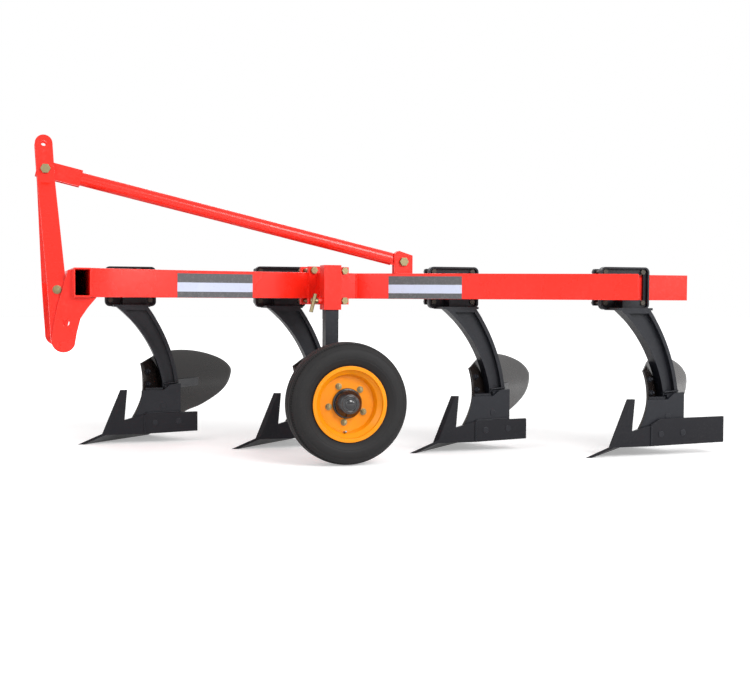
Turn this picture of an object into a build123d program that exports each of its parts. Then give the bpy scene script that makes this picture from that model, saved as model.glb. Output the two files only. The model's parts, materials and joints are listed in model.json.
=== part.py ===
from build123d import *
import math
import os

# Four-furrow mouldboard plough for a tractor's three-point linkage, with a depth wheel.
# Millimetres. X runs to the rear, Y to the plough's right (the furrow side), Z up from the floor.
# Sizes are taken from the first share's point and its landside; every piece is moved to ORIGIN at the end.
ORIGIN_X, ORIGIN_Y = 1177, -211

# Larger than the plough: how far shapes that only cut or bound others reach
FAR = 4000

# Beams: rectangular tube, all at one height
TUBE_H, TUBE_W, TUBE_WALL = 100, 60, 6
TUBE_Z = 597
TUBE_TOP = TUBE_Z + TUBE_H
CROSS_REAR = 5
CROSS_FRONT = CROSS_REAR - TUBE_W
CROSS_RIGHT, CROSS_PAST_LINK = 262, 35
BEAM_START_Y, BEAM_END_X = 111.5, 2022
BEAM_SLOPE = -0.5
OVERRUN = 80
BRACE_LINE = [(CROSS_REAR, -775), (92, -700), (400, -560), (1050, -411)]

# Plough bodies: (point's X, landside's Y, landside's rear end, landside's height, front chamfer)
BODIES = [
    (0, 0, 484, 84, 0),
    (574, -300, 484, 84, 0),
    (1215, -600, 484, 84, 0),
    (1816, -900, 586, 105, 40),
]

# Leg carriers: short tubes along X behind the beam, one for each body
CARRIER_NEAR = 164
CARRIER_REACH = [345, 345, 345, 516]

# Leg: I-section with a rectangular head ring clamped to the carrier
HEAD_MID_X, HEAD_L, HEAD_LOW, HEAD_TOP = 225, 210, 560, 726
HEAD_DEPTH, HEAD_PLATE, HEAD_RIM, HEAD_CORNER = 26, 12, 7, 20
HEAD_SIDE_BAR = 19
NECK_L, NECK_INSET, SHELF_REACH = 74, 40, 10
LEG_NEAR, LEG_W = 52, 56
LEG_FLANGE, LEG_WEB = 14, 16
LEG_FOOT_Z, LEG_SOLID_TOP = 60, 245
LEG_FRONT = [(158, HEAD_LOW), (272, 434), (346, 245)]
LEG_REAR = [(287, HEAD_LOW), (378, 386), (416, 190)]
CLAMP_PLATE_T = 12
CLAMP_BOLT_R, CLAMP_BOLT_DX, CLAMP_BOLT_GAP = 6, 82, 10.5
BOLT_CLEAR = 0.5

# Share, board and landside, measured in p and q: q runs to the rear and right at 45 degrees, p square to it
ROOT_HALF = math.sqrt(0.5)
BOARD_R, BOARD_T, BOARD_BACK_P, BOARD_AXIS_Z = 294, 8, 172, 215
BOARD_AXIS_P = BOARD_BACK_P - BOARD_R
SHARE_T, SHARE_ANGLE, SHARE_EDGE_P, SHARE_TOP_Z = 10, 28, -14, 75
POINT_Q, WING_Q, WING_TOP_Q = 14, 438, 462
SIDE_T = 12
NOSE_X, NOSE_Z, JOINT_X = 96, 38, 267
FIN_T, FIN_TOP_Z, FIN_BEVEL = 18, 220, 12
FROG_T = 18
FROG_REAR, FROG_TOP = 416, 243
RIB_T = 10
RIB_HEIGHTS = [95, 155, 215]
STAY_T, STAY_H, STAY_Z = 8, 35, 215

# Hitch: two plates under the cross tube, a mast of two flat bars, and a strut back to the beam
LINK_SPREAD, LINK_PLATE_T = 683, 15
LINK_HOLE = (-78, 509)
LINK_FRONT = [(-127, 446), (-118, 509), (-106, 570), (-88, 631), (-71, 690)]
LINK_REAR = [(24, 597), (-6, 561), (-30, 525), (-42, 479), (-50, 433)]
LINK_LOWEST = (-98, 410)
LINK_HOLE_R, LINK_RELIEF = 11, 4
HITCH_MID_Y = -408.5
CROSS_LEFT = HITCH_MID_Y - LINK_SPREAD / 2 - CROSS_PAST_LINK
MAST_W, MAST_T, MAST_GAP = 62, 14, 60
MAST_FOOT, MAST_TOP_HOLE = (-96, 440), (-140, 1151)
MAST_HOLE_R = 9.75
MAST_BEND_LOW, MAST_BEND_HIGH = 650, 1010
STRUT_BOLT_Z, STRUT_R = 1060, 25
FORK_T, FORK_H, FORK_L = 8, 60, 130
LUG_X, LUG_INSET, LUG_L, LUG_T = 1221, 33.5, 76, 8
LUG_Y = BEAM_START_Y + BEAM_SLOPE * (LUG_X - CROSS_REAR) + LUG_INSET
LUG_BOLT_Z, LUG_TOP = TUBE_TOP + 46, TUBE_TOP + 89
TONGUE_T, TONGUE_L = 14, 90
PIN_R = 10

# Depth wheel: bracket clamped to the brace, square leg in a sleeve, stub axle, rim and tyre
WHEEL_X, WHEEL_Y = 895, -815
TYRE_R, TYRE_W, RIM_R = 221, 130, 127
RIM_FLANGE_R, RIM_W, RIM_T = 137, 92, 5
DISC_OFFSET, DISC_T = 8, 7
HUB_R, HUB_CAP_R, HUB_L = 42, 48, 112
HUB_PAST_RIM, HUB_END_T, AXLE_END_GAP, COLLAR_GAP = 12, 10, 4, 6
CAP_BEVEL_R, CAP_BEVEL_L = 14, 16
HUB_FLANGE_R, HUB_FLANGE_T = 88, 10
AXLE_R, AXLE_CLEAR, COLLAR_R = 20, 0.06, 28
LEG_TUBE, SLEEVE_WALL, SLEEVE_CLEAR = 50, 7.5, 0.5
LEG_TUBE_WALL = 5
SLEEVE_Y = -590
SLEEVE_LOW, SLEEVE_HIGH = 555, 722
LEG_TUBE_TOP = 712
BRACKET_L, BRACKET_LOW, BRACKET_HIGH, BRACKET_T = 174, 574, 720, 14
STANDOFF_W = 40
BRACKET_BOLT_DX, BRACKET_BOLT_R = 67, 8
BACK_PLATE_REACH = 0
WELD_SINK = 3
BRACKET_SHIFT = 27
HANDLE_Z, HANDLE_R, HANDLE_L, HANDLE_TILT = 588, 7, 70, 14
BOSS_R, BOSS_L, SCREW_R, SCREW_L = 14, 16, 9, 26
GRIP_X, GRIP_SHIFT = 20, 8


def prism_y(points, y0, y1):
    """A flat shape drawn in X and Z, from y0 to y1."""
    return Pos(0, y0, 0) * extrude(Plane.XZ * make_face(Polyline(*points, close=True)), y0 - y1)


def prism_z(points, z0, z1):
    """A flat shape drawn in X and Y, from z0 to z1."""
    return Pos(0, 0, z0) * extrude(make_face(Polyline(*points, close=True)), z1 - z0)


def block(x0, x1, y0, y1, z0, z1):
    return Pos((x0 + x1) / 2, (y0 + y1) / 2, (z0 + z1) / 2) * Box(x1 - x0, y1 - y0, z1 - z0)


def plan_xy(p, q):
    """The X and Y of a place given by p and q."""
    return ((q + p) * ROOT_HALF, (q - p) * ROOT_HALF)


def rod_y(x, z, radius, y0, y1):
    return Pos(x, (y0 + y1) / 2, z) * Rot(90, 0, 0) * Cylinder(radius, y1 - y0)


def band(line, width, grow=0.0):
    """The plan outline of a bent tube: a line of points, and the same line moved to its far side."""
    far, near = [], []
    for i, (x, y) in enumerate(line):
        before = line[max(i - 1, 0)], line[max(i, 1)]
        after = line[min(i, len(line) - 2)], line[min(i + 1, len(line) - 1)]
        angles = [math.atan2(b[1] - a[1], b[0] - a[0]) for a, b in (before, after)]
        middle = sum(angles) / 2
        stretch = 1 / math.cos((angles[1] - angles[0]) / 2)
        for side, shift in ((near, grow), (far, width - grow)):
            side.append((x - math.sin(middle) * shift * stretch, y + math.cos(middle) * shift * stretch))
    return near + far[::-1]


def tube(line):
    """A rectangular tube that follows a line along its near face: its outside, then its bore."""
    outside = prism_z(band(line, TUBE_W), TUBE_Z, TUBE_TOP)
    bore = prism_z(band(line, TUBE_W, TUBE_WALL), TUBE_Z + TUBE_WALL, TUBE_TOP - TUBE_WALL)
    return outside, bore


def bolt(radius, grip, nut=True):
    """Hex head below zero, shank up to the grip, then a nut where there is one, and the bolt's end."""
    hexagon = RegularPolygon(radius * 1.6, 6, major_radius=False)
    head = Pos(0, 0, -radius * 1.2) * extrude(hexagon, radius * 1.2)
    end = radius * 2.2
    shape = head + Pos(0, 0, (grip + end) / 2) * Cylinder(radius, grip + end)
    return shape + Pos(0, 0, grip) * extrude(hexagon, radius * 1.6) if nut else shape


def bolt_y(x, z, radius, y0, y1):
    """A bolt along Y with its head on the near side."""
    return Pos(x, y0, z) * Rot(-90, 0, 0) * bolt(radius, y1 - y0)


parts = {}

# Cross tube, main beam and brace
cross = block(CROSS_FRONT, CROSS_REAR, CROSS_LEFT, CROSS_RIGHT, TUBE_Z, TUBE_TOP)
cross_bore = block(
    CROSS_FRONT + TUBE_WALL, CROSS_REAR - TUBE_WALL, CROSS_LEFT, CROSS_RIGHT - TUBE_WALL,
    TUBE_Z + TUBE_WALL, TUBE_TOP - TUBE_WALL,
)
parts["cross_tube"] = cross - cross_bore


def beam_near(x):
    """Y of the beam's near face at a given X."""
    return BEAM_START_Y + BEAM_SLOPE * (x - CROSS_REAR)


def lengthened(line, start, end):
    """A line of points with its first and last piece made longer along X."""
    (xa, ya), (xb, yb) = line[:2]
    (xc, yc), (xd, yd) = line[-2:]
    first = (xa - start, ya - (yb - ya) / (xb - xa) * start)
    last = (xd + end, yd + (yd - yc) / (xd - xc) * end)
    return [first] + line[1:-1] + [last]


beam_line = [(CROSS_REAR, BEAM_START_Y), (BEAM_END_X, beam_near(BEAM_END_X))]
beam, beam_bore = tube(lengthened(beam_line, OVERRUN, 0))
behind_cross = block(CROSS_REAR, FAR, -FAR, FAR, 0, FAR)
parts["main_beam"] = (beam - beam_bore) & behind_cross
brace, brace_bore = tube(lengthened(BRACE_LINE, OVERRUN, OVERRUN))
past_beam = prism_z([(0, beam_near(0)), (FAR, beam_near(FAR)), (FAR, FAR), (0, FAR)], 0, FAR)
before_beam = prism_z([(-FAR, beam_near(-FAR)), (FAR, beam_near(FAR)), (FAR, -FAR), (-FAR, -FAR)], 0, FAR)
parts["brace_beam"] = ((brace - brace_bore) & behind_cross) - past_beam


# Plough body pieces, made once from the first point
P_PLANE = Plane(origin=(0, 0, 0), x_dir=(ROOT_HALF, -ROOT_HALF, 0), z_dir=(-ROOT_HALF, -ROOT_HALF, 0))
Q_PLANE = Plane(origin=(0, 0, 0), x_dir=(ROOT_HALF, ROOT_HALF, 0), z_dir=(ROOT_HALF, -ROOT_HALF, 0))
tan_share = math.tan(math.radians(SHARE_ANGLE))
sin_share, cos_share = math.sin(math.radians(SHARE_ANGLE)), math.cos(math.radians(SHARE_ANGLE))
share_top_p = SHARE_EDGE_P + SHARE_TOP_Z / tan_share
share_heel = (share_top_p + SHARE_T * sin_share, SHARE_TOP_Z - SHARE_T * cos_share)
share_floor_p = share_heel[0] - share_heel[1] / tan_share


def board_p(z, radius=BOARD_R):
    return BOARD_AXIS_P + math.sqrt(radius**2 - (z - BOARD_AXIS_Z) ** 2)


def along_q(face, q0, q1):
    return Pos(q0 * ROOT_HALF, q0 * ROOT_HALF, 0) * extrude(P_PLANE * face, q0 - q1)


# Everything on the soil's side of the share's underside and the board's back
SOIL_TOP, SOIL_FAR, SOIL_END = 480, -600, 900
soil_line = [
    (board_p(SOIL_TOP), SOIL_TOP), (SOIL_FAR, SOIL_TOP), (SOIL_FAR, -20),
    (share_floor_p - 20 / tan_share, -20), share_heel, (board_p(SHARE_TOP_Z), SHARE_TOP_Z),
]
soil_arc = ThreePointArc(soil_line[-1], (board_p(BOARD_AXIS_Z), BOARD_AXIS_Z), soil_line[0])
soil = along_q(make_face(Polyline(*soil_line) + soil_arc), -500, SOIL_END)

# Share: a bevelled plate, a nose plate in the landside's plane, and an upright fin
share_profile = [
    (SHARE_EDGE_P, 0), (share_top_p, SHARE_TOP_Z), share_heel, (share_floor_p, 0),
]
share_plate = along_q(make_face(Polyline(*share_profile, close=True)), -200, 600)
share_plan = [
    plan_xy(SHARE_EDGE_P, POINT_Q), (NOSE_X, 0), (JOINT_X, 0), plan_xy(share_top_p + 20, WING_TOP_Q),
    plan_xy(SHARE_EDGE_P, WING_Q), plan_xy(SHARE_EDGE_P - 5, WING_Q - 3), plan_xy(SHARE_EDGE_P - 5, POINT_Q),
]
share_plate = share_plate & prism_z(share_plan, 0, 200)
nose = prism_y(
    [(NOSE_X, NOSE_Z), (JOINT_X, NOSE_Z), (JOINT_X, 118), (238, 112), (186, 97)], 0, SIDE_T
)
fin = prism_y([(NOSE_X, NOSE_Z), (186, 97), (197, FIN_TOP_Z), (170, FIN_TOP_Z)], 0, FIN_T)
fin_edge = fin.edges().group_by(Axis.Y)[0].sort_by(Axis.X)[0]
fin = chamfer(fin_edge, FIN_BEVEL)
share = share_plate + nose + fin

# Mouldboard: a curved plate whose outline is drawn in q and z
board_outline = [
    (150, SHARE_TOP_Z), (196, 190), (206, 255), (216, 328), (339, 360), (456, 372), (578, 368), (690, 350),
    (780, 322), (828, 290), (836, 262), (800, 210), (737, 169), (619, 126), (520, 105), (452, SHARE_TOP_Z),
]
ring = Circle(BOARD_R) - Circle(BOARD_R - BOARD_T)
shell = along_q(Pos(BOARD_AXIS_P, BOARD_AXIS_Z) * ring, 0, SOIL_END)
outline = extrude(Q_PLANE * make_face(Polyline(*board_outline, close=True)), 300)
board = (shell & outline) & prism_z([(-100, 0), (1200, 0), (1200, 900), (-100, 900)], 0, 600)
board = board - nose

# Frog: a side plate, ribs that reach the board's back, and a seat for the leg
frog_side = prism_y(
    [(110, 42), (FROG_REAR, 42), (FROG_REAR, FROG_TOP), (372, 238), (345, 216), (200, 216), (110, 216)],
    SIDE_T, SIDE_T + FROG_T,
)
frog_foot = block(352, FROG_REAR - 6, SIDE_T + FROG_T, LEG_NEAR, LEG_FOOT_Z, 232)
rib_plan = [(100, SIDE_T + FROG_T), (345, SIDE_T + FROG_T), (345, LEG_NEAR), (290, 130), (60, 190)]
frog = frog_side + frog_foot
for height in RIB_HEIGHTS:
    frog = frog + prism_z(rib_plan, height, height + RIB_T)
frog = frog - soil

# Leg: curved I-section, solid at the foot, with a ring at its head
front_arc = ThreePointArc(*LEG_FRONT)
rear_arc = ThreePointArc(*LEG_REAR)
edges = [
    front_arc, Line(LEG_FRONT[-1], (352, LEG_FOOT_Z)), Line((352, LEG_FOOT_Z), (FROG_REAR, LEG_FOOT_Z)),
    Line((FROG_REAR, LEG_FOOT_Z), LEG_REAR[-1]), rear_arc, Line(LEG_REAR[0], LEG_FRONT[0]),
]
leg_face = make_face(Curve() + edges)
stem = Pos(0, LEG_NEAR, 0) * extrude(Plane.XZ * leg_face, -LEG_W)
pocket_face = offset(leg_face, -LEG_FLANGE)
pocket_depth = (LEG_W - LEG_WEB) / 2
pocket_room = block(0, FAR, -FAR, FAR, LEG_SOLID_TOP, HEAD_LOW)
for y in (LEG_NEAR, LEG_NEAR + LEG_W - pocket_depth):
    stem = stem - (Pos(0, y, 0) * extrude(Plane.XZ * pocket_face, -pocket_depth) & pocket_room)
head_z = (HEAD_LOW + HEAD_TOP) / 2
head_back = CARRIER_NEAR


def head_plate(shrink, depth):
    face = RectangleRounded(HEAD_L - 2 * shrink, HEAD_TOP - HEAD_LOW - 2 * shrink, HEAD_CORNER - shrink)
    return Pos(HEAD_MID_X, head_back - depth, head_z) * extrude(Plane.XZ * face, -depth)


window = block(
    HEAD_MID_X - HEAD_L / 2 + HEAD_SIDE_BAR, HEAD_MID_X + HEAD_L / 2 - HEAD_SIDE_BAR,
    LEG_NEAR, head_back, TUBE_Z, TUBE_TOP,
)
recess = Pos(0, -HEAD_PLATE, 0) * head_plate(HEAD_RIM, HEAD_DEPTH - HEAD_PLATE)
head = head_plate(0, HEAD_DEPTH) - recess - window
neck = block(HEAD_MID_X - NECK_L / 2, HEAD_MID_X + NECK_L / 2, LEG_NEAR, head_back, HEAD_LOW, TUBE_Z)
shelf = block(
    LEG_FRONT[0][0] - SHELF_REACH, LEG_REAR[0][0] + SHELF_REACH,
    LEG_NEAR, head_back, HEAD_LOW - 2, HEAD_LOW + HEAD_RIM,
)
leg = (stem - soil) + shelf + (neck & block(0, FAR, LEG_NEAR + NECK_INSET, FAR, 0, FAR)) + head
bolt_spots = [
    (HEAD_MID_X + sx * CLAMP_BOLT_DX, z)
    for sx in (-1, 1)
    for z in (TUBE_Z - CLAMP_BOLT_GAP, TUBE_TOP + CLAMP_BOLT_GAP)
]
clamp_far = CARRIER_NEAR + TUBE_W
clamp_l, clamp_h = 2 * (CLAMP_BOLT_DX + 2 * CLAMP_BOLT_R), TUBE_H + 2 * (CLAMP_BOLT_GAP + 2 * CLAMP_BOLT_R)
clamp_face = RectangleRounded(clamp_l, clamp_h, CLAMP_BOLT_R)
clamp = Pos(HEAD_MID_X, clamp_far, (TUBE_Z + TUBE_TOP) / 2) * extrude(Plane.XZ * clamp_face, -CLAMP_PLATE_T)
for x, z in bolt_spots:
    hole = rod_y(x, z, CLAMP_BOLT_R + BOLT_CLEAR, LEG_NEAR, clamp_far + TUBE_W)
    leg = leg - hole
    clamp = clamp - hole
clamp_bolts = [
    bolt_y(x, z, CLAMP_BOLT_R, head_back - HEAD_PLATE, clamp_far + CLAMP_PLATE_T) for x, z in bolt_spots
]
stay_y = LEG_NEAR + LEG_W
stay = prism_z(
    [(358, stay_y), (404, stay_y), (560, 330), (550, 338), (400, stay_y + STAY_T), (358, stay_y + STAY_T)],
    STAY_Z, STAY_Z + STAY_H,
) - soil

clamps, bolts, stays = [], [], []
for i, (x, y, side_end, side_h, chamfer_l) in enumerate(BODIES):
    n, place = i + 1, Pos(x, y, 0)
    carrier = block(
        CROSS_REAR, x + CARRIER_REACH[i], y + CARRIER_NEAR, y + clamp_far, TUBE_Z, TUBE_TOP
    )
    bore = block(
        CROSS_REAR, x + CARRIER_REACH[i], y + CARRIER_NEAR + TUBE_WALL, y + clamp_far - TUBE_WALL,
        TUBE_Z + TUBE_WALL, TUBE_TOP - TUBE_WALL,
    )
    parts[f"leg_carrier_{n}"] = (carrier - bore) - beam - before_beam
    parts[f"leg_{n}"] = place * leg
    parts[f"frog_{n}"] = place * frog
    parts[f"share_{n}"] = place * share
    parts[f"mouldboard_{n}"] = place * board
    corner = (JOINT_X, NOSE_Z + side_h - 22 * (chamfer_l > 0)), (JOINT_X + chamfer_l, NOSE_Z + side_h)
    side_line = [(JOINT_X, NOSE_Z), (side_end, NOSE_Z + 8), (side_end, NOSE_Z + 4 + side_h), corner[1]]
    side_line += [corner[0]] * (chamfer_l > 0)
    parts[f"landside_{n}"] = place * prism_y(side_line, 0, SIDE_T)
    clamps.append(place * clamp)
    bolts += [place * b for b in clamp_bolts]
    stays.append(place * stay)
parts["leg_clamp_plates"] = Compound(children=clamps)
parts["leg_clamp_bolts"] = Compound(children=bolts)
parts["board_stays"] = Compound(children=stays)

# Hitch plates under the cross tube, notched to its front and underside
hx, hz = LINK_HOLE
link_low_arc = ThreePointArc(LINK_REAR[-1], LINK_LOWEST, LINK_FRONT[0])
link_line = LINK_FRONT + [(CROSS_FRONT, LINK_FRONT[-1][1]), (CROSS_FRONT, TUBE_Z)] + LINK_REAR
link_face = make_face(Polyline(*link_line) + link_low_arc)
mast_lean = (MAST_TOP_HOLE[0] - MAST_FOOT[0]) / (MAST_TOP_HOLE[1] - MAST_FOOT[1])
half_mast = MAST_W / 2


def mast_x(z):
    return MAST_FOOT[0] + mast_lean * (z - MAST_FOOT[1])


mast_face = make_face(
    Polyline(
        (mast_x(MAST_TOP_HOLE[1]) - half_mast, MAST_TOP_HOLE[1]), (MAST_FOOT[0] - half_mast, MAST_FOOT[1]),
        (MAST_FOOT[0] + half_mast, MAST_FOOT[1]), (mast_x(MAST_TOP_HOLE[1]) + half_mast, MAST_TOP_HOLE[1]),
    )
    + ThreePointArc(
        (mast_x(MAST_TOP_HOLE[1]) + half_mast, MAST_TOP_HOLE[1]),
        (mast_x(MAST_TOP_HOLE[1]), MAST_TOP_HOLE[1] + half_mast),
        (mast_x(MAST_TOP_HOLE[1]) - half_mast, MAST_TOP_HOLE[1]),
    )
)
strut_x = mast_x(STRUT_BOLT_Z)
for name, side in (("left", -1), ("right", 1)):
    plate_y = HITCH_MID_Y + side * LINK_SPREAD / 2
    plate = Pos(0, plate_y - LINK_PLATE_T / 2, 0) * extrude(Plane.XZ * link_face, -LINK_PLATE_T)
    plate = plate - rod_y(hx, hz, LINK_HOLE_R, plate_y - TUBE_W, plate_y + TUBE_W)
    parts[f"hitch_plate_{name}"] = plate
    low_y = LINK_SPREAD / 2 - LINK_PLATE_T / 2
    high_y = MAST_GAP / 2 + MAST_T
    out_line = [(low_y, 0), (low_y, MAST_BEND_LOW), (high_y, MAST_BEND_HIGH), (high_y, FAR)]
    strip = out_line + [(y - MAST_T, z) for y, z in out_line[::-1]]
    strip_face = make_face(Polyline(*[(side * y, z) for y, z in strip], close=True))
    bent = Pos(-FAR / 2, HITCH_MID_Y, 0) * extrude(Plane.YZ * strip_face, FAR)
    bar = bent & (Pos(0, HITCH_MID_Y - FAR / 2, 0) * extrude(Plane.XZ * mast_face, -FAR))
    bar = bar - rod_y(*MAST_TOP_HOLE, MAST_HOLE_R, HITCH_MID_Y - high_y, HITCH_MID_Y + high_y)
    bar = bar - rod_y(strut_x, STRUT_BOLT_Z, PIN_R + BOLT_CLEAR, HITCH_MID_Y - high_y, HITCH_MID_Y + high_y)
    bar = bar - rod_y(hx, hz, LINK_HOLE_R + LINK_RELIEF, plate_y - TUBE_W, plate_y + TUBE_W) - cross
    parts[f"mast_bar_{name}"] = bar

# Strut: round tube with two plates at the mast and a tongue between the beam's lugs
front = Vector(strut_x, HITCH_MID_Y, STRUT_BOLT_Z)
rear = Vector(LUG_X, LUG_Y, LUG_BOLT_Z)
run = rear - front
unit = run.normalized()
tube_start, tube_end = front + unit * 45, rear - unit * 48
pipe_plane = Plane(origin=tube_start, z_dir=unit)
pipe_len = (tube_end - tube_start).length
pipe = extrude(pipe_plane * Circle(STRUT_R), pipe_len)
slope = math.degrees(math.atan2(-run.Z, run.X))
fork_flat = Pos(strut_x, 0, STRUT_BOLT_Z) * Rot(0, slope, 0) * Pos((FORK_L - FORK_H / 2) / 2, HITCH_MID_Y, 0)
fork = fork_flat * Box(FORK_L + FORK_H / 2, MAST_GAP, FORK_H)
fork = fork - fork_flat * Box(FORK_L + FORK_H, MAST_GAP - 2 * FORK_T, FORK_H + 2)
tongue_flat = Pos(LUG_X, LUG_Y, LUG_BOLT_Z) * Rot(0, slope, 0) * Pos(-TONGUE_L / 2 + 14, 0, 0)
tongue = tongue_flat * Box(TONGUE_L + 28, TONGUE_T, 44)
strut = pipe + fork + tongue
for x, y, z in ((strut_x, HITCH_MID_Y, STRUT_BOLT_Z), (LUG_X, LUG_Y, LUG_BOLT_Z)):
    strut = strut - rod_y(x, z, PIN_R + BOLT_CLEAR, y - MAST_GAP, y + MAST_GAP)
parts["strut"] = strut
lug_line = [
    (LUG_X - LUG_L / 2, TUBE_TOP), (LUG_X + LUG_L / 2, TUBE_TOP), (LUG_X + LUG_L / 2, LUG_TOP - 18),
    (LUG_X - LUG_L / 4, LUG_TOP), (LUG_X - LUG_L / 2, LUG_TOP - 12),
]
lugs = []
for y0 in (LUG_Y - TONGUE_T / 2 - LUG_T, LUG_Y + TONGUE_T / 2):
    lug = prism_y(lug_line, y0, y0 + LUG_T)
    lugs.append(lug - rod_y(LUG_X, LUG_BOLT_Z, PIN_R + BOLT_CLEAR, LUG_Y - MAST_GAP, LUG_Y + MAST_GAP))
parts["strut_lugs"] = Compound(children=lugs)
mast_out = MAST_GAP / 2 + MAST_T
lug_out = TONGUE_T / 2 + LUG_T
parts["strut_bolts"] = Compound(
    children=[
        bolt_y(strut_x, STRUT_BOLT_Z, PIN_R, HITCH_MID_Y - mast_out, HITCH_MID_Y + mast_out),
        bolt_y(LUG_X, LUG_BOLT_Z, PIN_R, LUG_Y - lug_out, LUG_Y + lug_out),
    ]
)

# Depth wheel bracket: a plate on the brace's near face, a standoff and a square sleeve
(x2, y2), (x3, y3) = BRACE_LINE[-2:]
brace_angle = math.degrees(math.atan2(y3 - y2, x3 - x2))
seat_x = WHEEL_X + BRACKET_SHIFT
seat = Vector(seat_x, y2 + (seat_x - x2) * (y3 - y2) / (x3 - x2), (BRACKET_LOW + BRACKET_HIGH) / 2)
on_brace = Pos(seat.X, seat.Y, seat.Z) * Rot(0, 0, brace_angle)
bracket_h = BRACKET_HIGH - BRACKET_LOW
near_plate = on_brace * Pos(0, -BRACKET_T / 2, 0) * Box(BRACKET_L, BRACKET_T, bracket_h)
back_l = BRACKET_BOLT_DX + BACK_PLATE_REACH + BRACKET_BOLT_R * 2
back_mid = BACK_PLATE_REACH - back_l / 2
far_plate = on_brace * Pos(back_mid, TUBE_W + BRACKET_T / 2, 0) * Box(back_l, BRACKET_T, bracket_h)
sleeve_in = LEG_TUBE / 2 + SLEEVE_CLEAR
sleeve_out = sleeve_in + SLEEVE_WALL


def square_post(half, low, high):
    """A square bar on the wheel leg's line."""
    return block(WHEEL_X - half, WHEEL_X + half, SLEEVE_Y - half, SLEEVE_Y + half, low, high)


sleeve = square_post(sleeve_out, SLEEVE_LOW, SLEEVE_HIGH)
sleeve_bore = square_post(sleeve_in, 0, FAR)
standoff = block(
    WHEEL_X - STANDOFF_W / 2, WHEEL_X + STANDOFF_W / 2,
    SLEEVE_Y + sleeve_out - WELD_SINK, seat.Y + BRACKET_T,
    TUBE_Z + WELD_SINK, TUBE_TOP - WELD_SINK,
)
standoff = standoff - on_brace * Pos(0, (FAR - BRACKET_T) / 2, 0) * Box(FAR, FAR, FAR)
bracket = near_plate + standoff + sleeve - sleeve_bore
bracket_bolts = []
bracket_dz = TUBE_H / 2 + BRACKET_BOLT_R + BOLT_CLEAR
for sx in (-1, 1):
    for sz in (-1, 1):
        spot = on_brace * Pos(sx * BRACKET_BOLT_DX, -BRACKET_T, sz * bracket_dz) * Rot(-90, 0, 0)
        hole = spot * Cylinder(BRACKET_BOLT_R + BOLT_CLEAR, 4 * TUBE_W)
        bracket = bracket - hole
        if sx < 0:
            far_plate = far_plate - hole
            bracket_bolts.append(spot * bolt(BRACKET_BOLT_R, TUBE_W + 2 * BRACKET_T))
        else:
            bracket_bolts.append(spot * bolt(BRACKET_BOLT_R, BRACKET_T, nut=False))
boss_x = WHEEL_X - sleeve_out - BOSS_L
boss = Pos(boss_x + BOSS_L / 2, SLEEVE_Y, HANDLE_Z) * Rot(0, 90, 0) * Cylinder(BOSS_R, BOSS_L)
parts["wheel_bracket"] = bracket + boss
parts["bracket_back_plate"] = far_plate
parts["bracket_bolts"] = Compound(children=bracket_bolts)
screw = Pos(boss_x - SCREW_L / 2, SLEEVE_Y, HANDLE_Z) * Rot(0, 90, 0) * Cylinder(SCREW_R, SCREW_L)
grip = Pos(boss_x - GRIP_X, SLEEVE_Y - GRIP_SHIFT, HANDLE_Z - GRIP_SHIFT)
grip = grip * Rot(0, HANDLE_TILT, 0) * Cylinder(HANDLE_R, HANDLE_L)
parts["clamp_handle"] = screw + grip

# Wheel leg with its stub axle
wheel_z = TYRE_R
post = square_post(LEG_TUBE / 2, wheel_z - LEG_TUBE, LEG_TUBE_TOP)
post = post - square_post(LEG_TUBE / 2 - LEG_TUBE_WALL, wheel_z + AXLE_R * 2, FAR)
post_near = SLEEVE_Y - LEG_TUBE / 2 + WELD_SINK
hub_inner = WHEEL_Y + RIM_W / 2 + HUB_PAST_RIM
hub_outer = hub_inner - HUB_L
axle = rod_y(WHEEL_X, wheel_z, AXLE_R, hub_outer + HUB_END_T + AXLE_END_GAP, post_near)
collar = rod_y(WHEEL_X, wheel_z, COLLAR_R, hub_inner + COLLAR_GAP, post_near)
parts["wheel_leg"] = post + axle + collar


def turned(profile):
    """A shape turned about the axle: radius, and the place along it, negative on the near side."""
    face = make_face(Polyline(*[(r, -y) for r, y in profile], close=True))
    return Pos(WHEEL_X, WHEEL_Y, wheel_z) * Rot(90, 0, 0) * revolve(Plane.XZ * face, Axis.Z)


half_t, half_r = TYRE_W / 2, RIM_W / 2
disc_near, disc_far = -DISC_OFFSET, DISC_T - DISC_OFFSET
tyre_half = [
    (TYRE_R, 18), (218, half_t - 30), (208, half_t - 12), (190, half_t - 1), (168, half_t),
    (RIM_R + 14, half_r + 4), (RIM_R, half_r - 8),
]
tyre = turned([(r, -y) for r, y in tyre_half[::-1]] + tyre_half)
lip = [
    (RIM_R - RIM_T, half_r), (RIM_R - 4, half_r + 9), (RIM_FLANGE_R, half_r + 9), (RIM_FLANGE_R, half_r + 4),
]
rim = turned(
    [(r, -y) for r, y in lip[::-1]]
    + [(106, disc_near - 24), (100, disc_near), (HUB_R + 1, disc_near), (HUB_R + 1, disc_far)]
    + [(106, disc_far), (112, DISC_OFFSET + 6)]
    + lip
    + [(RIM_R, half_r - 8), (RIM_R, -half_r + 8)]
)
rim = rim - tyre
hub_bore = AXLE_R + AXLE_CLEAR
cap_near, hub_far = hub_outer - WHEEL_Y, hub_inner - WHEEL_Y
hub = turned([
    (hub_bore, hub_far), (HUB_R, hub_far), (HUB_R, disc_far + HUB_FLANGE_T),
    (HUB_FLANGE_R, disc_far + HUB_FLANGE_T), (HUB_FLANGE_R, disc_far), (HUB_R, disc_far),
    (HUB_R, disc_near - WELD_SINK), (HUB_CAP_R, disc_near - WELD_SINK), (HUB_CAP_R, cap_near + CAP_BEVEL_L),
    (HUB_CAP_R - CAP_BEVEL_R, cap_near), (0, cap_near), (0, cap_near + HUB_END_T),
    (hub_bore, cap_near + HUB_END_T),
])
parts["tyre"] = tyre
parts["rim"] = rim
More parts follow.
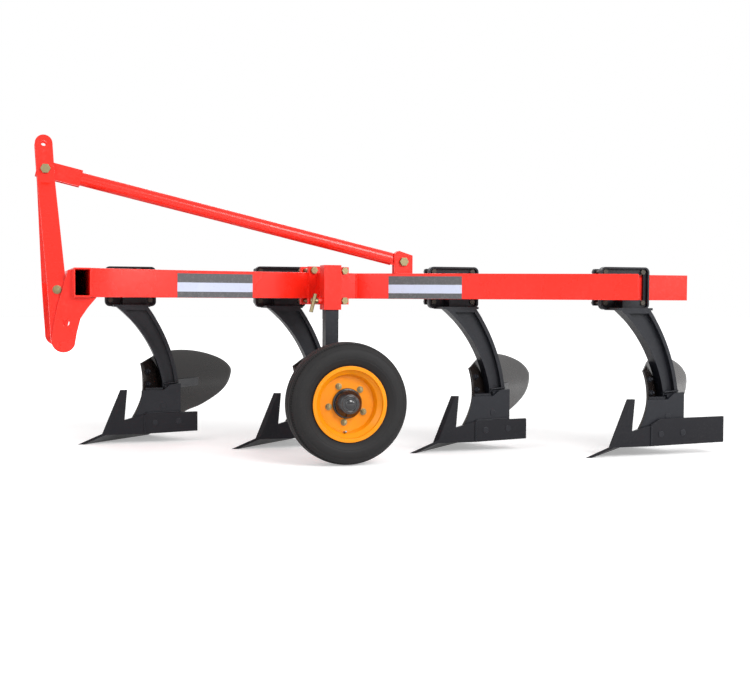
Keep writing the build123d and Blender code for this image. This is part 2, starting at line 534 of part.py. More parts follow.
parts["hub"] = hub

os.makedirs("parts", exist_ok=True)
whole = Compound(children=[Pos(0, 0, 0) * shape for shape in parts.values()]).bounding_box()
print("box", whole.min, whole.max)
for name, shape in parts.items():
    export_step(Pos(-ORIGIN_X, -ORIGIN_Y, 0) * shape, f"parts/{name}.step")
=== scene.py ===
import json
import math
import bpy
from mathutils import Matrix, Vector


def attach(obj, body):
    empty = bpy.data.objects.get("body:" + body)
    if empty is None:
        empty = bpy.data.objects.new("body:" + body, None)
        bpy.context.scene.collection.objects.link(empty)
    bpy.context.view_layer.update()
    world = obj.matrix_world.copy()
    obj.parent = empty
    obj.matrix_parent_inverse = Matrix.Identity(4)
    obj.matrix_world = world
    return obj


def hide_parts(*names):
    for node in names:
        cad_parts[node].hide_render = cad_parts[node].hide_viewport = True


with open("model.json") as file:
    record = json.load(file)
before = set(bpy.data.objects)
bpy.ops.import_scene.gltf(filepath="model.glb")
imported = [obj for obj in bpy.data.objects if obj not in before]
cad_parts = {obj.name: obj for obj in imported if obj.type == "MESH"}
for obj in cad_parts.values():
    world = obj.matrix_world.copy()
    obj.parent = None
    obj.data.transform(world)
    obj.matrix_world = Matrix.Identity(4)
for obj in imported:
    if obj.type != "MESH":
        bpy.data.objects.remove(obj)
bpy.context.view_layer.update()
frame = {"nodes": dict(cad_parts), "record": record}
nodes = frame["nodes"]
mm = 0.001
origin = Vector((1.177, -0.211, 0.0))  # the frame's origin, from the first share's point
near = (0, -1, 0)  # towards the plough's left, which the camera sees
far = (0, 1, 0)
diagonal = math.sqrt(0.5)


def spot(x, y, z):
    # millimetres from the first share's point, to metres in the frame
    return Vector((x * mm, y * mm, z * mm)) - origin


# Camera: at the photograph's place, low and ahead of the middle, looking back along the plough
camera = {
    "x": -271, "y": -4958, "z": 596, "yaw": 17.07, "pitch": -2.22, "roll": 0.32, "lens": 57.54, "sensor": 36,
}
cameraData = bpy.data.cameras.new("camera")
cameraData.lens = camera["lens"]
cameraData.sensor_width = camera["sensor"]
cameraObject = bpy.data.objects.new("camera", cameraData)
bpy.context.scene.collection.objects.link(cameraObject)
cameraObject.location = spot(camera["x"], camera["y"], camera["z"])
cameraObject.rotation_euler = (
    math.radians(90 + camera["pitch"]), math.radians(-camera["roll"]), math.radians(-camera["yaw"])
)
bpy.context.scene.camera = cameraObject
print("camera placed")


def feed(tree, socket, value):
    # another node's output is linked, a number or a colour goes on the socket itself
    if isinstance(value, bpy.types.NodeSocket):
        tree.links.new(value, socket)
    else:
        socket.default_value = value


def noise(tree, coordinate, scale, detail, roughness=0.55):
    node = tree.nodes.new("ShaderNodeTexNoise")
    for label, value in (
        ("Vector", coordinate), ("Scale", scale), ("Detail", detail), ("Roughness", roughness)
    ):
        feed(tree, node.inputs[label], value)
    return node.outputs["Fac"]


def remap(tree, value, low, high, toLow=0.0, toHigh=1.0):
    node = tree.nodes.new("ShaderNodeMapRange")
    for label, number in (
        ("Value", value), ("From Min", low), ("From Max", high), ("To Min", toLow), ("To Max", toHigh)
    ):
        feed(tree, node.inputs[label], number)
    return node.outputs["Result"]


def mathNode(tree, kind, first, second):
    node = tree.nodes.new("ShaderNodeMath")
    node.operation = kind
    feed(tree, node.inputs[0], first)
    feed(tree, node.inputs[1], second)
    return node.outputs[0]


def mixColour(tree, factor, first, second):
    node = tree.nodes.new("ShaderNodeMix")
    node.data_type = "RGBA"
    feed(tree, node.inputs["Factor"], factor)
    feed(tree, node.inputs[6], first)
    feed(tree, node.inputs[7], second)
    return node.outputs[2]


def newMaterial(name):
    material = bpy.data.materials.new(name)
    material.use_nodes = True
    return material, material.node_tree, material.node_tree.nodes["Principled BSDF"]


# Surface that all finishes share: soft clouds of wear, specks inside them, and a fine grain in relief
surface = {
    "cloudScale": 5.0, "cloudDetail": 6.0, "speckScale": 90.0, "speckDetail": 5.0, "speckRoughness": 0.7,
    "grainDetail": 3.0, "scuffCloud": (0.45, 0.75), "scuffSpeck": (0.5, 0.72), "cloud": (0.3, 0.7),
    "darkest": 0.12, "scuffRough": 0.35, "cloudRough": (-0.04, 0.06), "grainHeight": 0.6, "speckHeight": 0.4,
}


def makePaintGroup():
    group = bpy.data.node_groups.new("paintSurface", "ShaderNodeTree")
    sockets = {
        "INPUT": (("Paint", "Color"), ("Dust", "Color"), ("Dust Amount", "Float"), ("Grain Scale", "Float"),
                  ("Base Roughness", "Float")),
        "OUTPUT": (("Color", "Color"), ("Roughness", "Float"), ("Height", "Float")),
    }
    for inOut, rows in sockets.items():
        for label, kind in rows:
            group.interface.new_socket(name=label, in_out=inOut, socket_type=f"NodeSocket{kind}")
    start, end = group.nodes.new("NodeGroupInput"), group.nodes.new("NodeGroupOutput")
    place = group.nodes.new("ShaderNodeTexCoord").outputs["Object"]
    cloud = noise(group, place, surface["cloudScale"], surface["cloudDetail"])
    speck = noise(group, place, surface["speckScale"], surface["speckDetail"], surface["speckRoughness"])
    grain = noise(group, place, start.outputs["Grain Scale"], surface["grainDetail"])
    cloudy = remap(group, cloud, *surface["scuffCloud"])
    speckled = remap(group, speck, *surface["scuffSpeck"])
    scuff = mathNode(group, "MULTIPLY", cloudy, speckled)
    amount = mathNode(group, "MULTIPLY", scuff, start.outputs["Dust Amount"])
    dark = remap(group, cloud, *surface["cloud"], 0.0, surface["darkest"])
    shade = mixColour(group, dark, start.outputs["Paint"], (0, 0, 0, 1))
    colour = mixColour(group, amount, shade, start.outputs["Dust"])
    scuffRough = mathNode(group, "MULTIPLY", scuff, surface["scuffRough"])
    rough = mathNode(group, "ADD", start.outputs["Base Roughness"], scuffRough)
    rough = mathNode(group, "ADD", rough, remap(group, cloud, *surface["cloud"], *surface["cloudRough"]))
    grainHeight = mathNode(group, "MULTIPLY", grain, surface["grainHeight"])
    speckHeight = mathNode(group, "MULTIPLY", speck, surface["speckHeight"])
    height = mathNode(group, "ADD", grainHeight, speckHeight)
    for label, value in (("Color", colour), ("Roughness", rough), ("Height", height)):
        group.links.new(value, end.inputs[label])
    return group


paintGroup = makePaintGroup()

# Finishes: "relief" is the height of the grain in metres, "grain" its scale
looks = {
    "redEnamel": {
        "colour": (0.89, 0.017, 0.006), "dust": (0.95, 0.20, 0.17), "dustAmount": 0.15, "grain": 110,
        "rough": 0.27, "bump": 0.42, "relief": 0.0014, "coat": 0.12, "specular": 0.36,
    },
    "blackCasting": {
        "colour": (0.008, 0.009, 0.013), "dust": (0.045, 0.048, 0.058), "dustAmount": 0.45, "grain": 380,
        "rough": 0.40, "bump": 0.50, "relief": 0.0016, "specular": 0.28,
    },
    "blackBlade": {
        "colour": (0.008, 0.008, 0.011), "dust": (0.05, 0.048, 0.046), "dustAmount": 0.45, "grain": 260,
        "rough": 0.42, "bump": 0.30, "relief": 0.0012, "specular": 0.20,
    },
    "boardPaint": {
        "colour": (0.012, 0.009, 0.008), "dust": (0.06, 0.043, 0.036), "dustAmount": 0.4, "grain": 60,
        "rough": 0.25, "bump": 0.08, "relief": 0.0012, "coat": 0.06, "specular": 0.30,
    },
    "yellowZinc": {
        "colour": (0.27, 0.225, 0.12), "dust": (0.11, 0.09, 0.045), "dustAmount": 0.8, "grain": 500,
        "rough": 0.34, "bump": 0.20, "relief": 0.0006, "metal": 0.85,
    },
    "ringBolt": {
        "colour": (0.045, 0.038, 0.028), "dust": (0.12, 0.09, 0.05), "dustAmount": 0.6, "grain": 500,
        "rough": 0.38, "bump": 0.20, "relief": 0.0006, "metal": 0.4,
    },
    "tyreRubber": {
        "colour": (0.012, 0.0115, 0.012), "dust": (0.05, 0.045, 0.040), "dustAmount": 0.7, "grain": 600,
        "rough": 0.62, "bump": 0.30, "relief": 0.0008, "specular": 0.25,
    },
    "orangeEnamel": {
        "colour": (0.85, 0.27, 0.002), "dust": (0.30, 0.085, 0.004), "dustAmount": 0.6, "grain": 240,
        "rough": 0.32, "bump": 0.16, "relief": 0.001, "coat": 0.08, "specular": 0.22,
    },
    "hubBlack": {
        "colour": (0.008, 0.008, 0.010), "dust": (0.16, 0.17, 0.20), "dustAmount": 0.35, "grain": 220,
        "rough": 0.18, "bump": 0.30, "relief": 0.0014, "coat": 0.5, "specular": 0.45,
    },
}
coatRoughness = 0.12


def finish(name, look):
    material, tree, shader = newMaterial(name)
    paint = tree.nodes.new("ShaderNodeGroup")
    paint.node_tree = paintGroup
    paint.inputs["Paint"].default_value = (*look["colour"], 1)
    paint.inputs["Dust"].default_value = (*look["dust"], 1)
    paint.inputs["Dust Amount"].default_value = look["dustAmount"]
    paint.inputs["Grain Scale"].default_value = look["grain"]
    paint.inputs["Base Roughness"].default_value = look["rough"]
    tree.links.new(paint.outputs["Color"], shader.inputs["Base Color"])
    tree.links.new(paint.outputs["Roughness"], shader.inputs["Roughness"])
    bump = tree.nodes.new("ShaderNodeBump")
    bump.inputs["Strength"].default_value = look["bump"]
    bump.inputs["Distance"].default_value = look["relief"]
    tree.links.new(paint.outputs["Height"], bump.inputs["Height"])
    tree.links.new(bump.outputs["Normal"], shader.inputs["Normal"])
    shader.inputs["Metallic"].default_value = look.get("metal", 0.0)
    shader.inputs["Coat Weight"].default_value = look.get("coat", 0.0)
    shader.inputs["Coat Roughness"].default_value = coatRoughness
    shader.inputs["Specular IOR Level"].default_value = look.get("specular", 0.5)
    return material


finishes = {name: finish(name, look) for name, look in looks.items()}
slotFinish = {
    "red_paint": "redEnamel", "black_casting": "blackCasting", "black_blade": "blackBlade",
    "board_steel": "boardPaint", "zinc_bolts": "yellowZinc", "tyre_rubber": "tyreRubber",
    "orange_paint": "orangeEnamel", "hub_black": "hubBlack",
}
nodeSlot = {entry["node"]: entry["material_slot"] for entry in frame["record"]["subparts"]}
for nodeName, node in nodes.items():
    node.data.materials.clear()
    node.data.materials.append(finishes[slotFinish[nodeSlot[nodeName]]])
print("finishes made")


def deselect():
    if bpy.context.object and bpy.context.object.mode != "OBJECT":
        bpy.ops.object.mode_set(mode="OBJECT")
    bpy.ops.object.select_all(action="DESELECT")


def choose(piece):
    # makes a piece the only one selected, and the active one
    deselect()
    piece.select_set(True)
    bpy.context.view_layer.objects.active = piece


def settle(piece):
    # puts a piece's place into its mesh
    choose(piece)
    bpy.ops.object.transform_apply(location=True, rotation=True, scale=True)


def joinAll(pieces, name):
    choose(pieces[0])
    for piece in pieces:
        piece.select_set(True)
    bpy.ops.object.join()
    joined = bpy.context.object
    joined.name = name
    return joined


def meshPiece(name, corners, edges, faces):
    mesh = bpy.data.meshes.new(name)
    mesh.from_pydata([tuple(corner) for corner in corners], edges, faces)
    piece = bpy.data.objects.new(name, mesh)
    bpy.context.scene.collection.objects.link(piece)
    choose(piece)
    return piece


def modify(piece, kind, **settings):
    modifier = piece.modifiers.new(kind.lower(), kind)
    for label, value in settings.items():
        setattr(modifier, label, value)
    bpy.context.view_layer.objects.active = piece
    bpy.ops.object.modifier_apply(modifier=modifier.name)


def bevelEdges(piece, width):
    modify(piece, "BEVEL", width=width, segments=2, limit_method="ANGLE")


def dress(piece, body, look):
    settle(piece)
    piece.data.materials.clear()
    piece.data.materials.append(finishes[look])
    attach(piece, body)


def aim(axis):
    return Vector(axis).to_track_quat("Z", "Y").to_euler()


def disc(place, axis, radius, depth, sides, edge):
    # a cylinder along axis with its middle at place, its edges bevelled
    deselect()
    bpy.ops.mesh.primitive_cylinder_add(
        vertices=sides, radius=radius, depth=depth, location=place, rotation=aim(axis)
    )
    piece = bpy.context.object
    bevelEdges(piece, edge)
    return piece


# Hex bolts: edges and the threaded end as shares of each bolt's own sizes
hexBolt = {
    "washerSides": 32, "washerEdge": 0.3, "headSides": 6, "headEdge": 0.09,
    "endSides": 24, "endRadius": 0.55, "endEdge": 0.3,
}


def hexHead(place, axis, size):
    # a washer, a hex head and the bolt's end, stacked on a face along axis
    out = Vector(axis)
    washer, head, end = size["washerT"], size["headT"], size["endT"]
    headR = size["head"]
    return [
        disc(place + out * washer / 2, axis, size["washer"], washer,
             hexBolt["washerSides"], washer * hexBolt["washerEdge"]),
        disc(place + out * (washer + head / 2), axis, headR, head,
             hexBolt["headSides"], headR * hexBolt["headEdge"]),
        disc(place + out * (washer + head + end / 2), axis, headR * hexBolt["endRadius"], end,
             hexBolt["endSides"], end * hexBolt["endEdge"]),
    ]


# Rounded edges: each solid whose edges show gets a copy with its sharp edges bevelled, in metres
rounding = {"merge": 0.00002, "flatAngle": 0.6, "smoothAngle": 50}
edgeWidth = {
    "cross_tube": 0.0024, "main_beam": 0.0024, "brace_beam": 0.0024, "wheel_leg": 0.003,
    "wheel_bracket": 0.002, "bracket_back_plate": 0.0015, "bracket_bolts": 0.0008, "leg_clamp_bolts": 0.0007,
    "strut_bolts": 0.001, "leg_clamp_plates": 0.0015, "strut": 0.0012, "strut_lugs": 0.0015,
    "board_stays": 0.0012, "rim": 0.0012, "hub": 0.0015,
}
for side in ("left", "right"):
    edgeWidth[f"hitch_plate_{side}"] = 0.0018
    edgeWidth[f"mast_bar_{side}"] = 0.002
for number in range(1, 5):
    edgeWidth[f"leg_{number}"] = 0.003
    edgeWidth[f"leg_carrier_{number}"] = 0.0024
    edgeWidth[f"frog_{number}"] = 0.002
    edgeWidth[f"share_{number}"] = 0.0012
    edgeWidth[f"landside_{number}"] = 0.0018
bodyOf = {"wheel_leg": "wheel_leg", "rim": "wheel", "hub": "wheel"}
lookOf = {"leg_clamp_bolts": "ringBolt"}


def roundEdges(nodeName, width):
    piece = bpy.data.objects.new(f"rounded_{nodeName}", nodes[nodeName].data.copy())
    bpy.context.scene.collection.objects.link(piece)
    choose(piece)
    bpy.ops.object.mode_set(mode="EDIT")
    bpy.ops.mesh.select_all(action="SELECT")
    bpy.ops.mesh.remove_doubles(threshold=rounding["merge"])
    bpy.ops.mesh.select_all(action="SELECT")
    bpy.ops.mesh.dissolve_limited(angle_limit=math.radians(rounding["flatAngle"]))
    bpy.ops.object.mode_set(mode="OBJECT")
    bevelEdges(piece, width)
    look = lookOf.get(nodeName, slotFinish[nodeSlot[nodeName]])
    dress(piece, bodyOf.get(nodeName, "frame"), look)
    bpy.ops.object.shade_smooth_by_angle(angle=math.radians(rounding["smoothAngle"]))
    modify(piece, "WEIGHTED_NORMAL", keep_sharp=True)
    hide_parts(nodeName)


# The four plough bodies: each share's point, from the first one, in millimetres
bodyPoints = ((0, 0), (574, -300), (1215, -600), (1816, -900))


def bodySpot(body, x, y, z):
    return spot(body[0] + x, body[1] + y, z)


# Mouldboards: the frame's curved plate with its outline drawn smooth, (along the plough's diagonal, height)
board = {
    "radius": 294, "axisP": -122, "axisZ": 215, "thick": 0.008, "rings": 16, "steps": 9, "footSteps": 18,
    "middle": (480, 225), "edge": 0.0014, "smoothAngle": 35,
    "shin": ((150, 71), (196, 190), (206, 255), (216, 328)),
    "wing": ((216, 328), (339, 360), (456, 372), (578, 368), (690, 350), (780, 322), (828, 290), (836, 262),
             (800, 210), (737, 169), (619, 126), (520, 105), (452, 71)),
    "foot": ((452, 71), (150, 71)),
}


def boardDepth(z):
    # how far the board's back lies from its cylinder's axis, across the diagonal, at height z
    return math.sqrt(board["radius"]**2 - (z - board["axisZ"]) ** 2)


def boardBackSpot(body, q, z):
    # a place on the back of a body's board, q along the diagonal and at height z
    p = board["axisP"] + boardDepth(z)
    return bodySpot(body, (q + p) * diagonal, (q - p) * diagonal, z)


def smoothLine(points, steps):
    # a smooth curve through the points, as a list of places without the last one
    ends = [Vector(points[0]) * 2 - Vector(points[1])] + [Vector(p) for p in points]
    ends.append(Vector(points[-1]) * 2 - Vector(points[-2]))
    line = []
    for i in range(1, len(ends) - 2):
        a, b, c, d = ends[i - 1:i + 3]
        for step in range(steps):
            t = step / steps
            line.append(0.5 * (2 * b + (c - a) * t + (2 * a - 5 * b + 4 * c - d) * t**2
                               + (3 * b - a - 3 * c + d) * t**3))
    return line


def boardNet():
    # the board's places, ring after ring from the middle to the outline, and the faces between them
    outline = smoothLine(board["shin"], board["steps"]) + smoothLine(board["wing"], board["steps"])
    outline += smoothLine(board["foot"], board["footSteps"])
    middle, count = Vector(board["middle"]), len(outline)
    places, faces = [middle], []
    for ring in range(1, board["rings"] + 1):
        places += [middle + (place - middle) * ring / board["rings"] for place in outline]
    for i in range(count):
        after = (i + 1) % count
        faces.append((0, 1 + i, 1 + after))
        for ring in range(board["rings"] - 1):
            low, high = 1 + ring * count, 1 + (ring + 1) * count
            faces.append((low + i, high + i, high + after, low + after))
    return places, faces


def makeBoards():
    places, faces = boardNet()
    back = Vector((1, -1, 0))
    for number, body in enumerate(bodyPoints, 1):
        corners = [boardBackSpot(body, q, z) for q, z in places]
        piece = meshPiece(f"curvedBoard{number}", corners, [], faces)
        if piece.data.polygons[0].normal.dot(back) < 0:
            bpy.ops.object.mode_set(mode="EDIT")
            bpy.ops.mesh.select_all(action="SELECT")
            bpy.ops.mesh.flip_normals()
            bpy.ops.object.mode_set(mode="OBJECT")
        modify(piece, "SOLIDIFY", thickness=board["thick"], offset=-1)
        bevelEdges(piece, board["edge"])
        dress(piece, "frame", "boardPaint")
        bpy.ops.object.shade_smooth_by_angle(angle=math.radians(board["smoothAngle"]))
        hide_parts(f"mouldboard_{number}")


# Fasteners that the frame's solids leave out: bolts' sizes are in metres, their places in millimetres
mastBolts = {"washer": 0.015, "washerT": 0.003, "head": 0.0125, "headT": 0.009, "endT": 0.004,
             "x": -107, "z": 622, "leftY": -742.5, "rightY": -74.5}


def makeMastBolts():
    pieces = []
    for y, out in ((mastBolts["leftY"], near), (mastBolts["rightY"], far)):
        pieces += hexHead(spot(mastBolts["x"], y, mastBolts["z"]), out, mastBolts)
    dress(joinAll(pieces, "mastFootBolts"), "frame", "yellowZinc")


boardBolts = {"washer": 0.012, "washerT": 0.002, "head": 0.0105, "headT": 0.009, "endT": 0.007,
              "spots": ((222, 195), (228, 240), (236, 290), (330, 130))}


def makeBoardBolts():
    pieces = []
    for body in bodyPoints:
        for q, z in boardBolts["spots"]:
            away = boardDepth(z) * diagonal
            out = Vector((away, -away, z - board["axisZ"])).normalized()
            pieces += hexHead(boardBackSpot(body, q, z), out, boardBolts)
    dress(joinAll(pieces, "mouldboardNuts"), "frame", "blackCasting")


sideBolts = {"radius": 0.012, "depth": 0.0034, "sides": 24, "edge": 0.4, "proud": 0.6,
             "spots": ((310, 0, 84), (405, 0, 88), (345, 12, 150))}


def makeSideBolts():
    # flush bolt heads, two in each landside and one in each frog
    radius, depth, sides = sideBolts["radius"], sideBolts["depth"], sideBolts["sides"]
    pieces = []
    for body in bodyPoints:
        for x, y, z in sideBolts["spots"]:
            place = bodySpot(body, x, y - sideBolts["proud"], z)
            pieces.append(disc(place, near, radius, depth, sides, depth * sideBolts["edge"]))
    dress(joinAll(pieces, "landsideBolts"), "frame", "blackCasting")


# Wheel: nuts round the hub and the tyre's valve, from the wheel's middle
wheel = {"x": 895, "y": -815, "z": 221, "boltCircle": 69, "discY": -8, "washer": 0.012, "washerT": 0.002,
         "head": 0.0098, "headT": 0.009, "endT": 0.005, "bolts": 5, "firstAngle": 45}
valve = {"radius": 0.0042, "length": 0.036, "sides": 20, "edge": 0.3, "angle": -97, "ring": 104, "y": -28,
         "axis": (0, -1, 0.35), "collarFoot": 2.2, "collarTop": 1.2, "collarL": 0.014, "collarRing": 107,
         "collarY": -18, "collarEdge": 0.001}


def wheelSpot(radius, angle, y):
    turn = math.radians(angle)
    return spot(wheel["x"] + radius * math.cos(turn), wheel["y"] + y, wheel["z"] + radius * math.sin(turn))


def makeWheelBolts():
    pieces = []
    for i in range(wheel["bolts"]):
        angle = wheel["firstAngle"] + i * 360 / wheel["bolts"]
        pieces += hexHead(wheelSpot(wheel["boltCircle"], angle, wheel["discY"]), near, wheel)
    dress(joinAll(pieces, "wheelNuts"), "wheel", "yellowZinc")


def makeValve():
    radius = valve["radius"]
    stem = disc(wheelSpot(valve["ring"], valve["angle"], valve["y"]), valve["axis"], radius, valve["length"],
                valve["sides"], radius * valve["edge"])
    deselect()
    bpy.ops.mesh.primitive_cone_add(
        vertices=valve["sides"], radius1=radius * valve["collarFoot"], radius2=radius * valve["collarTop"],
        depth=valve["collarL"], location=wheelSpot(valve["collarRing"], valve["angle"], valve["collarY"]),
        rotation=aim(valve["axis"]),
    )
    collar = bpy.context.object
    bevelEdges(collar, valve["collarEdge"])
    dress(joinAll([stem, collar], "tyreValve"), "wheel", "hubBlack")


# Hub cap's face: a rounded ring and a shallow dome on the cap's end, and a ring at its root
hubCap = {"faceY": -54, "ringR": 0.027, "ringT": 0.004, "domeR": 0.019, "domeT": 0.007,
          "rootY": -13, "rootR": 0.050, "rootT": 0.005, "ringSteps": (72, 14), "domeSteps": (40, 20)}


def makeHubCap():
    middle = wheelSpot(0, 0, hubCap["faceY"])
    root = wheelSpot(0, 0, hubCap["rootY"])
    around, across = hubCap["ringSteps"]
    pieces = []
    for place, part in ((middle, "ring"), (root, "root")):
        deselect()
        bpy.ops.mesh.primitive_torus_add(
            major_radius=hubCap[part + "R"], minor_radius=hubCap[part + "T"], major_segments=around,
            minor_segments=across, location=place, rotation=aim(near),
        )
        pieces.append(bpy.context.object)
    segments, rings = hubCap["domeSteps"]
    deselect()
    bpy.ops.mesh.primitive_uv_sphere_add(
        segments=segments, ring_count=rings, radius=hubCap["domeR"], location=middle
    )
    dome = bpy.context.object
    dome.scale = (1, hubCap["domeT"] / hubCap["domeR"], 1)
    pieces.append(dome)
    dress(joinAll(pieces, "hubCapFace"), "wheel", "hubBlack")
    bpy.ops.object.shade_smooth()


# Tyre: a turned profile in millimetres, (radius, across), with grooves, then shoulder lugs in metres
tyre = {
    "steps": 144, "merge": 0.00005, "smoothAngle": 32, "lugRadius": (0.2105, 0.2165), "lugAcross": 0.040,
    "lugEvery": 3, "lugInset": 0.0022, "lugDepth": -0.0028,
    "groove": ((217.7, -2), (217.7, 2)),
    "half": ((220.9, 3), (220.9, 15), (217.6, 16.2), (217.6, 20.5), (220.2, 22), (218.6, 33), (215.0, 34.5),
             (214.4, 38.5), (216.9, 40), (211.5, 50.5), (206.0, 56.5), (199.0, 60.6), (197.6, 60.4),
             (196.0, 61.8), (186.0, 64.4), (172.0, 64.9), (166.0, 64.2), (164.4, 63.2), (162.8, 63.6),
             (152.0, 58.6), (145.0, 52.4), (139.5, 48.8), (136.0, 47.6), (131.5, 46.6), (127.4, 43.5)),
}


def makeTyre():
    profile = [(r, -y) for r, y in reversed(tyre["half"])] + list(tyre["groove"]) + list(tyre["half"])
    edges = [(i, (i + 1) % len(profile)) for i in range(len(profile))]
    piece = meshPiece("tyreTread", [wheelSpot(r, 0, y) for r, y in profile], edges, [])
    centre = wheelSpot(0, 0, 0)
    bpy.ops.object.mode_set(mode="EDIT")
    bpy.ops.mesh.select_all(action="SELECT")
    bpy.ops.mesh.spin(steps=tyre["steps"], angle=math.tau, center=centre, axis=(0, 1, 0))
    bpy.ops.mesh.select_all(action="SELECT")
    bpy.ops.mesh.remove_doubles(threshold=tyre["merge"])
    bpy.ops.mesh.normals_make_consistent(inside=False)
    bpy.ops.mesh.select_all(action="DESELECT")
    bpy.ops.object.mode_set(mode="OBJECT")
    lowest, highest = tyre["lugRadius"]
    for face in piece.data.polygons:
        out = face.center - centre
        onShoulder = lowest < math.hypot(out.x, out.z) < highest and abs(out.y) > tyre["lugAcross"]
        segment = int((math.atan2(out.z, out.x) / math.tau + 1) * tyre["steps"])
        face.select = onShoulder and segment % tyre["lugEvery"] != 0
    bpy.ops.object.mode_set(mode="EDIT")
    bpy.ops.mesh.select_mode(type="FACE")
    bpy.ops.mesh.inset(thickness=tyre["lugInset"], depth=tyre["lugDepth"], use_individual=True)
    bpy.ops.object.mode_set(mode="OBJECT")
    dress(piece, "wheel", "tyreRubber")
    bpy.ops.object.shade_smooth_by_angle(angle=math.radians(tyre["smoothAngle"]))
    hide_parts("tyre")


# Decals: plain striped bands on the beams' near faces
decals = {
    "lift": 0.7, "film": 0.0004, "low": 598, "high": 686,
    "brace": ((320, -596.36), (400, -560.0), (613, -511.17)),
    "beam": ((1163, -467.5), (1421, -596.5)),
}
stripes = {
    "grey": (0.095, 0.095, 0.10, 1), "white": (0.52, 0.56, 0.70, 1), "whiteFrom": 0.24, "whiteTo": 0.62,
    "worn": (0.34, 0.34, 0.35, 1), "wornScale": 120.0, "wornDetail": 6.0, "wornRoughness": 0.7,
    "wornNoise": (0.5, 0.8), "wornMost": 0.35, "rough": (0.45, 0.6), "specular": 0.2,
}


def makeStripeFinish():
    material, tree, shader = newMaterial("stripedDecal")
    place = tree.nodes.new("ShaderNodeTexCoord").outputs["Object"]
    apart = tree.nodes.new("ShaderNodeSeparateXYZ")
    tree.links.new(place, apart.inputs[0])
    up = remap(tree, apart.outputs["Z"], decals["low"] * mm, decals["high"] * mm)
    ramp = tree.nodes.new("ShaderNodeValToRGB")
    bands = ramp.color_ramp
    bands.interpolation = "CONSTANT"
    bands.elements[0].color = stripes["grey"]
    bands.elements[1].position = stripes["whiteFrom"]
    bands.elements[1].color = stripes["white"]
    bands.elements.new(stripes["whiteTo"]).color = stripes["grey"]
    tree.links.new(up, ramp.inputs["Fac"])
    wear = noise(tree, place, stripes["wornScale"], stripes["wornDetail"], stripes["wornRoughness"])
    worn = remap(tree, wear, *stripes["wornNoise"], 0.0, stripes["wornMost"])
    colour = mixColour(tree, worn, ramp.outputs["Color"], stripes["worn"])
    tree.links.new(colour, shader.inputs["Base Color"])
    rough = remap(tree, worn, 0.0, stripes["wornMost"], *stripes["rough"])
    tree.links.new(rough, shader.inputs["Roughness"])
    shader.inputs["Specular IOR Level"].default_value = stripes["specular"]
    return material


finishes["stripedDecal"] = makeStripeFinish()


def makeDecal(name, line):
    corners = [spot(x, y - decals["lift"], z) for x, y in line for z in (decals["low"], decals["high"])]
    faces = [(i, i + 2, i + 3, i + 1) for i in range(0, len(corners) - 2, 2)]
    piece = meshPiece(name, corners, [], faces)
    modify(piece, "SOLIDIFY", thickness=decals["film"])
    dress(piece, "frame", "stripedDecal")


# Beads: rippled tubes in metres, along welds and seams whose ends are in millimetres
bead = {"radius": 0.0036, "sides": 10, "ripple": 0.0008, "trough": -0.0004, "pitch": 0.0045, "fewest": 4}
welds = {
    "weldBraceFront": ((5.5, -775, 599), (5.5, -775, 695)),
    "weldBraceBack": ((5.5, -697, 599), (5.5, -697, 695)),
    "weldBraceEnd": ((1048, -411, 599), (1048, -411, 695)),
    "weldBeamEnd": ((5.5, 111, 599), (5.5, 111, 695)),
    "weldCarrier2": ((645, -136, 599), (645, -136, 695)),
    "weldCarrier3": ((1246, -436, 599), (1246, -436, 695)),
    "weldCarrier4": ((1847, -736, 599), (1847, -736, 695)),
    "weldHitchLeft": ((-55.5, -758, 600), (-55.5, -758, 688)),
    "weldHitchUnderLeft": ((-53, -758, 596.5), (4, -758, 596.5)),
    "weldHitchRight": ((-55.5, -59, 600), (-55.5, -59, 688)),
    "weldHitchUnderRight": ((-53, -59, 596.5), (4, -59, 596.5)),
    "weldLugNear": ((1185, -478, 697.5), (1257, -478, 697.5)),
    "weldLugFar": ((1185, -448, 697.5), (1257, -448, 697.5)),
    "weldStandoff875": ((875, -557, 604), (875, -557, 690)),
    "weldStandoff915": ((915, -557, 604), (915, -557, 690)),
}
bodySeams = {
    "seamSide": ((268, -1, 42), (268, -1, 116)), "seamFrog": ((275, 11, 122), (412, 11, 127)),
    "seamFoot": ((350, 50, 240), (412, 50, 246)),
}


def makeBead(name, start, end, look):
    run = (end - start).length
    along = (end - start).normalized()
    rings = max(bead["fewest"], round(run / bead["pitch"]) * 2)
    deselect()
    bpy.ops.mesh.primitive_cylinder_add(
        vertices=bead["sides"], radius=bead["radius"], depth=run, location=(start + end) / 2,
        rotation=aim(end - start),
    )
    piece = bpy.context.object
    bpy.ops.object.mode_set(mode="EDIT")
    for i in range(1, rings):
        bpy.ops.mesh.select_all(action="SELECT")
        bpy.ops.mesh.bisect(plane_co=start + along * run * i / rings, plane_no=along)
    bpy.ops.object.mode_set(mode="OBJECT")
    settle(piece)
    for vertex in piece.data.vertices:
        away = vertex.co - start
        flat = away - along * away.dot(along)
        onCrest = round(away.dot(along) / run * rings) % 2
        vertex.co += flat.normalized() * (bead["ripple"] if onCrest else bead["trough"])
    dress(piece, "frame", look)
    piece.name = name
    bpy.ops.object.shade_smooth()


def makeBeads():
    for name, (start, end) in welds.items():
        makeBead(name, spot(*start), spot(*end), "redEnamel")
    for number, body in enumerate(bodyPoints, 1):
        for name, (start, end) in bodySeams.items():
            start, end = bodySpot(body, *start), bodySpot(body, *end)
            makeBead(f"{name}{number}", start, end, "blackCasting")


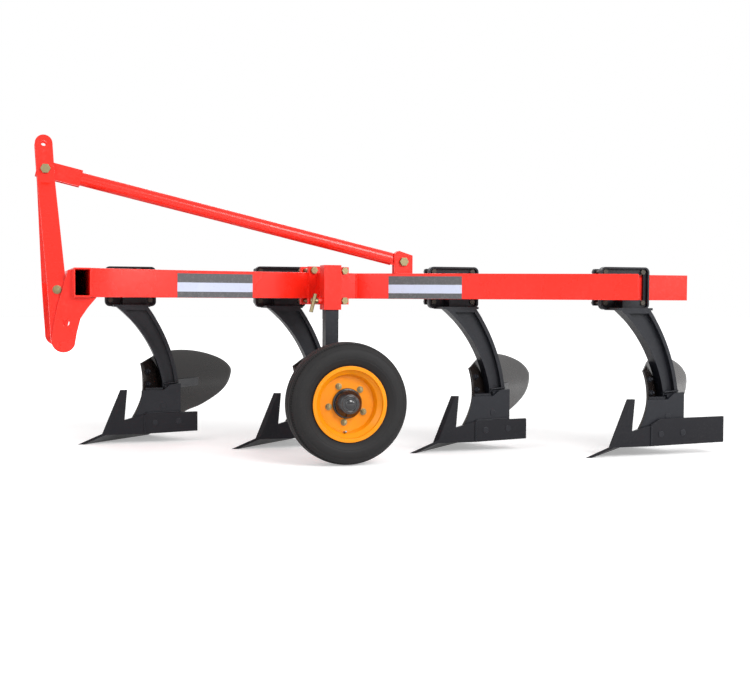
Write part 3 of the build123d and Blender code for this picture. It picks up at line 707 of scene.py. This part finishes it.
# Floor, backdrop and light: each lamp has its place, size and power
studio = {
    "floorSize": 60, "floorZ": -0.0005, "floorColour": (0.80, 0.80, 0.80, 1), "floorRough": 0.9,
    "glow": 0.36, "fadeFrom": 1.5, "fadeTo": 5.0, "world": 0.46, "white": (1, 1, 1, 1),
}
lampTarget = Vector((0, -0.2, 0.4))
lamps = {
    "key": ((1.6, -5.2, 3.4), 2.6, 250), "fill": ((-3.5, -3.2, 2.2), 3.0, 70),
    "back": ((0.5, 4.5, 3.0), 3.0, 70), "glint": ((3.6, -3.3, 1.6), 1.0, 45),
}


def lookedAt(tree):
    # 1 where the camera or a glossy surface sees it, 0 where it only gives light
    path = tree.nodes.new("ShaderNodeLightPath")
    return mathNode(tree, "MAXIMUM", path.outputs["Is Camera Ray"], path.outputs["Is Glossy Ray"])


def makeFloor():
    # where it is looked at, the floor glows, more with distance, until it meets the backdrop's white
    deselect()
    bpy.ops.mesh.primitive_plane_add(size=studio["floorSize"], location=(0, 0, studio["floorZ"]))
    floor = bpy.context.object
    floor.name = "floor"
    material, tree, shader = newMaterial("paleFloor")
    shader.inputs["Base Color"].default_value = studio["floorColour"]
    shader.inputs["Roughness"].default_value = studio["floorRough"]
    away = tree.nodes.new("ShaderNodeVectorMath")
    away.operation = "LENGTH"
    tree.links.new(tree.nodes.new("ShaderNodeTexCoord").outputs["Object"], away.inputs[0])
    fade = remap(tree, away.outputs["Value"], studio["fadeFrom"], studio["fadeTo"], studio["glow"], 1.0)
    glow = tree.nodes.new("ShaderNodeEmission")
    glow.inputs["Color"].default_value = studio["white"]
    tree.links.new(mathNode(tree, "MULTIPLY", lookedAt(tree), fade), glow.inputs["Strength"])
    both = tree.nodes.new("ShaderNodeAddShader")
    tree.links.new(shader.outputs[0], both.inputs[0])
    tree.links.new(glow.outputs[0], both.inputs[1])
    tree.links.new(both.outputs[0], tree.nodes["Material Output"].inputs["Surface"])
    floor.data.materials.append(material)


def makeWorld():
    world = bpy.data.worlds.new("studio")
    bpy.context.scene.world = world
    world.use_nodes = True
    tree = world.node_tree
    backdrop = tree.nodes["Background"]
    backdrop.inputs["Color"].default_value = studio["white"]
    strength = remap(tree, lookedAt(tree), 0.0, 1.0, studio["world"], 1.0)
    tree.links.new(strength, backdrop.inputs["Strength"])


def makeLamps():
    for name, (place, size, power) in lamps.items():
        lamp = bpy.data.lights.new(name, "AREA")
        lamp.energy = power
        lamp.size = size
        lampObject = bpy.data.objects.new(name, lamp)
        bpy.context.scene.collection.objects.link(lampObject)
        lampObject.location = place
        lampObject.rotation_euler = (lampTarget - Vector(place)).to_track_quat("-Z", "Y").to_euler()


for nodeName, width in edgeWidth.items():
    roundEdges(nodeName, width)
makeBoards()
print("edges rounded and mouldboards made")
makeMastBolts()
makeBoardBolts()
makeSideBolts()
print("fasteners made")
makeWheelBolts()
makeValve()
makeHubCap()
makeTyre()
print("wheel dressed")
makeDecal("braceDecal", decals["brace"])
makeDecal("beamDecal", decals["beam"])
makeBeads()
print("decals and beads made")
makeFloor()
makeWorld()
makeLamps()
bpy.context.scene.view_settings.view_transform = "Standard"
